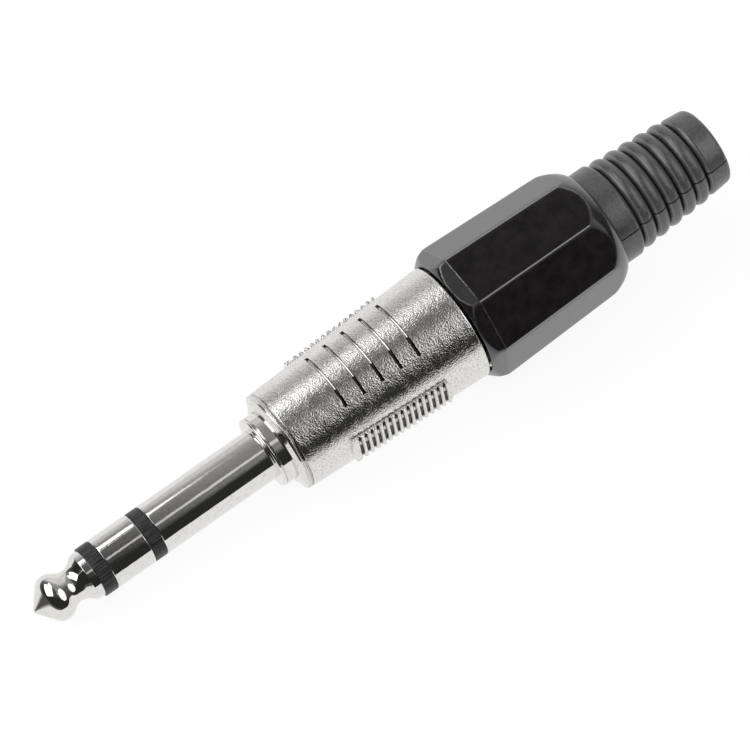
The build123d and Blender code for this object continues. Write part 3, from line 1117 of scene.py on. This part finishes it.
# Boot
# Bend relief moulded in dark soft plastic: a snap flange inside the cap, a plain collar and
# rounded ribs that get smaller towards the cable, each steeper on its front side. A fine seam of
# the mould runs along both sides.
boot_front = 43.88
boot_bore = 3.5
boot_neck_r = 6.05
snap_flange_r = 6.75
snap_flange_chamfer = 0.3
snap_flange_rear = 45.63
collar_rear = 49.63
collar_arc_point = (50.04, 5.70)
first_valley = 50.23
rib_count = 5
rib_pitch = 2.0
first_valley_r = 5.2
rib_taper = 0.128
rib_height = 0.73
rib_crest_at = 0.9
# Where the painted highlight on each rib's front flank lies, past its valley.
rib_highlight_at = 0.42
end_front = first_valley + rib_count * rib_pitch
end_arc_point = (60.455, 4.924)
end_round_rear = 60.83
end_front_r = 5.13
end_rear_r = 4.87
boot_rear = 63.43
seam_turn = math.radians(-58.5)


def share_along(tree, first, second):
    """How far one direction or place reaches along another."""
    return add_node(
        tree, "ShaderNodeVectorMath", {0: first, 1: second}, operation="DOT_PRODUCT"
    ).outputs["Value"]


boot_rubber, tree, shader, along = plug_material("boot_rubber")
skin = noise(tree, along, scale=3.0, detail=6.0, roughness=0.65)
skin_colour = colour_steps(tree, skin, ((0.3, 0.038, 0.037, 0.037), (0.75, 0.098, 0.096, 0.095)))
place = separated(tree, along)
from_valley = calc(tree, "SUBTRACT", place["X"], first_valley)
in_rib = calc(tree, "PINGPONG", from_valley, rib_pitch / 2)
past_valley = calc(tree, "WRAP", from_valley, rib_pitch, 0.0)
off_front = calc(tree, "ABSOLUTE", calc(tree, "SUBTRACT", past_valley, rib_highlight_at))
ribbed = calc(
    tree,
    "MULTIPLY",
    calc(tree, "GREATER_THAN", place["X"], first_valley - 0.5),
    calc(tree, "LESS_THAN", place["X"], end_front + 0.5),
)
# Painted highlight: a pale line on the front flank of each rib.
rib_front_highlight = calc(tree, "MULTIPLY", mapped(tree, off_front, 0.02, 0.11, 0.75, 0.0), ribbed)
# Painted shade in the valleys between the ribs, which also lowers their gloss. The real mould seam is darkened
# with it.
valley_shade = calc(tree, "MULTIPLY", mapped(tree, in_rib, 0.0, 0.24, 1.0, 0.0), ribbed)
seam_across = share_along(tree, along, (0, math.cos(seam_turn), -math.sin(seam_turn)))
seam = mapped(tree, calc(tree, "ABSOLUTE", seam_across), 0.05, 0.13, 1.0, 0.0)
skin_height = calc(tree, "MULTIPLY_ADD", seam, 0.8, skin)
darkest = calc(tree, "MAXIMUM", valley_shade, seam)
highlit_skin = blend(tree, rib_front_highlight, skin_colour, (0.17, 0.168, 0.166, 1))
set_inputs(
    tree,
    shader,
    {
        "Base Color": blend(tree, darkest, highlit_skin, (0.004, 0.004, 0.004, 1)),
        "Normal": bumped(tree, skin_height, strength=0.5, distance=0.00006),
        "Specular IOR Level": mapped(tree, darkest, 0.0, 1.0, 0.85, 0.1),
        "Roughness": 0.28,
    },
)


def arc_through(start, middle, end, steps):
    """Points of the arc from start to end through a middle point, without the last one."""
    (ax, ay), (bx, by), (cx, cy) = start, middle, end
    scale = 2 * (ax * (by - cy) + bx * (cy - ay) + cx * (ay - by))
    squares = [x * x + y * y for x, y in (start, middle, end)]
    across = (squares[0] * (by - cy) + squares[1] * (cy - ay) + squares[2] * (ay - by)) / scale
    up = (squares[0] * (cx - bx) + squares[1] * (ax - cx) + squares[2] * (bx - ax)) / scale
    centre = Vector((across, up))
    first = Vector(start) - centre
    sweep = first.angle_signed(Vector(end) - centre)
    return [
        tuple(centre + Matrix.Rotation(-sweep * step / steps, 2) @ first) + (0,) for step in range(steps)
    ]


boot_outline = [
    (boot_front, boot_bore, 0),
    (boot_front, snap_flange_r - snap_flange_chamfer, 0),
    (boot_front + snap_flange_chamfer, snap_flange_r, 0),
    (snap_flange_rear, snap_flange_r, 0),
    (snap_flange_rear, boot_neck_r, 0),
]
boot_outline += arc_through(
    (collar_rear, boot_neck_r), collar_arc_point, (first_valley, first_valley_r), 6
)
for index in range(rib_count):
    front = first_valley + index * rib_pitch
    valley_r = first_valley_r - index * rib_taper
    boot_outline += arc_through(
        (front, valley_r),
        (front + rib_crest_at, valley_r - rib_taper / 2 + rib_height),
        (front + rib_pitch, valley_r - rib_taper),
        16,
    )
last_valley_r = first_valley_r - rib_count * rib_taper
boot_outline += arc_through(
    (end_front, last_valley_r), end_arc_point, (end_round_rear, end_front_r), 6
)
boot_outline += [
    (end_round_rear, end_front_r, 0),
    (boot_rear, end_rear_r, 0.6),
    (boot_rear, boot_bore, 0.15),
]
boot = placed_piece("boot_moulding", turned_mesh(boot_outline, steps=6), boot_rubber, crease=40.0)
stand_for(boot, "boot", "boot")

# Inner pieces
# Solder lugs of tinned brass sheet, fibre washers, plain insulating tubes and the grey chuck.
# They keep their CAD shapes and get their own finishes.
inner_finishes = {
    "inner_insulation": ((0.72, 0.71, 0.66), 0.35, 0.0),
    "tinned_lug": ((0.74, 0.72, 0.69), 0.28, 1.0),
    "fibre_washer": ((0.26, 0.10, 0.05), 0.6, 0.0),
    "lining": ((0.50, 0.51, 0.51), 0.4, 0.0),
    "chuck_plastic": ((0.30, 0.31, 0.32), 0.35, 0.0),
}
mottle_dark = 0.78
finishes = {}
for slot, (colour, roughness, metallic) in inner_finishes.items():
    material, tree, shader, along = plug_material(slot)
    mottle = noise(tree, along, scale=1.2, detail=5.0, roughness=0.6)
    darker = [mottle_dark * value for value in colour]
    set_inputs(
        tree,
        shader,
        {
            "Base Color": blend(tree, mottle, (*darker, 1), (*colour, 1)),
            "Normal": bumped(tree, mottle, strength=0.3, distance=0.00004),
            "Roughness": roughness,
            "Metallic": metallic,
        },
    )
    finishes[slot] = material
for row in frame["record"]["subparts"]:
    if row["material_slot"] in finishes:
        data = frame["nodes"][row["node"]].data
        data.materials.clear()
        data.materials.append(finishes[row["material_slot"]])

# Floor, light and camera
# A white floor with a faint shadow, whose bright part ends soon beyond the tip, and four softboxes
# that show in the polished tip. The rest of the surround, which only glossy surfaces show, is dark
# in front and pale at the back right, with a dim ceiling and a grey panel over the cable end.
floor_half = 2.0
floor_end = (-0.056, -0.044)
floor_mirror = (0.09, 0.93)
pale_side = Vector((0.64, 0.77, -0.05))
pale_levels = ((0.0, 0.025), (0.3, 0.06), (0.6, 0.13), (0.72, 0.32), (0.82, 0.66), (1.0, 0.78))
ceiling_side = Vector((0.0, 0.26, 0.966))
white = (1, 1, 1, 1)


def shown_to(tree, seen, mirrored, lighting):
    """One shader where it is seen, one where it is mirrored and one where it only lights."""
    path = add_node(tree, "ShaderNodeLightPath").outputs
    straight = calc(tree, "MAXIMUM", path["Is Camera Ray"], path["Is Transmission Ray"])
    unseen = add_node(tree, "ShaderNodeMixShader", {0: path["Is Glossy Ray"], 1: lighting, 2: mirrored})
    return add_node(tree, "ShaderNodeMixShader", {0: straight, 1: unseen.outputs[0], 2: seen}).outputs[0]


def glow(tree, kind, strength):
    """White light from a surface or the world."""
    return add_node(tree, kind, {"Color": white, "Strength": strength}).outputs[0]


floor_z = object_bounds()[0][2]
floor_data = bpy.data.meshes.new("floor")
floor_data.from_pydata(
    [
        (-floor_half, -floor_half, floor_z),
        (floor_half, -floor_half, floor_z),
        (floor_half, floor_half, floor_z),
        (-floor_half, floor_half, floor_z),
    ],
    [],
    [(0, 1, 2, 3)],
)
floor = new_object("floor", floor_data)
floor_white = bpy.data.materials.new("floor_white")
floor_white.use_nodes = True
tree = floor_white.node_tree
tree.nodes.clear()
floor_place = add_node(tree, "ShaderNodeTexCoord").outputs["Object"]
sheet = mapped(tree, separated(tree, floor_place)["X"], *floor_end, *floor_mirror)
paint = add_node(tree, "ShaderNodeBsdfDiffuse", {"Color": (0.8, 0.8, 0.8, 1)}).outputs[0]
faint = add_node(tree, "ShaderNodeBsdfDiffuse", {"Color": (0.12, 0.12, 0.12, 1)}).outputs[0]
lit = add_node(tree, "ShaderNodeAddShader", {0: faint, 1: glow(tree, "ShaderNodeEmission", 0.9)})
floor_surface = shown_to(tree, lit.outputs[0], glow(tree, "ShaderNodeEmission", sheet), paint)
add_node(tree, "ShaderNodeOutputMaterial", {"Surface": floor_surface})
floor_data.materials.append(floor_white)

world = bpy.data.worlds.new("surround")
bpy.context.scene.world = world
world.use_nodes = True
tree = world.node_tree
tree.nodes.clear()
direction = add_node(tree, "ShaderNodeTexCoord").outputs["Generated"]
surround = grey_steps(tree, share_along(tree, direction, pale_side), pale_levels)
towards_ceiling = share_along(tree, direction, ceiling_side)
towards_rear = share_along(tree, direction, plug_axis)
above = calc(
    tree,
    "MULTIPLY_ADD",
    mapped(tree, towards_rear, 0.153, 0.164, 0.0, 0.17),
    mapped(tree, towards_ceiling, 0.42, 0.64),
    mapped(tree, towards_ceiling, 0.6, 0.9, 0.0, 0.06),
)
world_surface = shown_to(
    tree,
    glow(tree, "ShaderNodeBackground", 1.0),
    glow(tree, "ShaderNodeBackground", calc(tree, "ADD", surround, above)),
    glow(tree, "ShaderNodeBackground", 0.45),
)
add_node(tree, "ShaderNodeOutputWorld", {"Surface": world_surface})

softbox_distance = 1.5
softboxes = {
    "tip_softbox": ("RECTANGLE", (39.0, 138.5), (29.5, 24.5), 1.9),
    "edge_softbox": ("ELLIPSE", (42.2, 85.5), (6.0, 12.0), 1.4),
    "right_softbox": ("ELLIPSE", (48.7, -33.7), (28.0, 26.0), 1.2),
    "small_softbox": ("ELLIPSE", (17.6, -57.0), (4.6, 4.6), 0.5),
}
tilt = Matrix.Rotation(-lie, 3, "Y")
for name, (shape, angles, half_angles, softbox_glow) in softboxes.items():
    from_up, round_up = (math.radians(angle) for angle in angles)
    towards = Vector(
        (
            math.sin(from_up) * math.cos(round_up),
            math.sin(from_up) * math.sin(round_up),
            math.cos(from_up),
        )
    )
    sideways = Vector((-math.sin(round_up), math.cos(round_up), 0))
    axes = Matrix((sideways, towards.cross(sideways), towards)).transposed()
    widths = [2 * softbox_distance * math.tan(math.radians(angle)) for angle in half_angles]
    area = widths[0] * widths[1] * (math.pi / 4 if shape == "ELLIPSE" else 1)
    lamp = bpy.data.lights.new(name, "AREA")
    lamp.shape = shape
    lamp.size, lamp.size_y = widths
    lamp.energy = softbox_glow * math.pi * area
    holder = new_object(name, lamp)
    holder.matrix_world = Matrix.Translation(tilt @ towards * softbox_distance) @ (tilt @ axes).to_4x4()

axis_point = 15.88
camera_distance = 0.562
tip_lean = math.radians(12.0)
side_lean = math.radians(22.5)
picture_angle = math.radians(34.83)
picture_side_px = 750
focal_px = 4959
sensor_mm = 36.0
back_in_plug = Vector(
    (
        -math.sin(tip_lean),
        -math.cos(tip_lean) * math.sin(side_lean),
        math.cos(tip_lean) * math.cos(side_lean),
    )
)
back = (tilt @ back_in_plug).normalized()
aim = to_row @ Vector((axis_point, 0, 0))
flat_axis = (plug_axis - plug_axis.dot(back) * back).normalized()
camera_right = Matrix.Rotation(-picture_angle, 3, back) @ flat_axis
camera_up = back.cross(camera_right)
camera_data = bpy.data.cameras.new("camera")
camera_data.sensor_width = sensor_mm
camera_data.lens = focal_px / picture_side_px * sensor_mm
camera_data.clip_start = 0.01
camera = new_object("camera", camera_data)
camera_turn = Matrix((camera_right, camera_up, back)).transposed().to_4x4()
camera.matrix_world = Matrix.Translation(aim + back * camera_distance) @ camera_turn
bpy.context.scene.camera = camera
bpy.context.scene.view_settings.view_transform = "Standard"
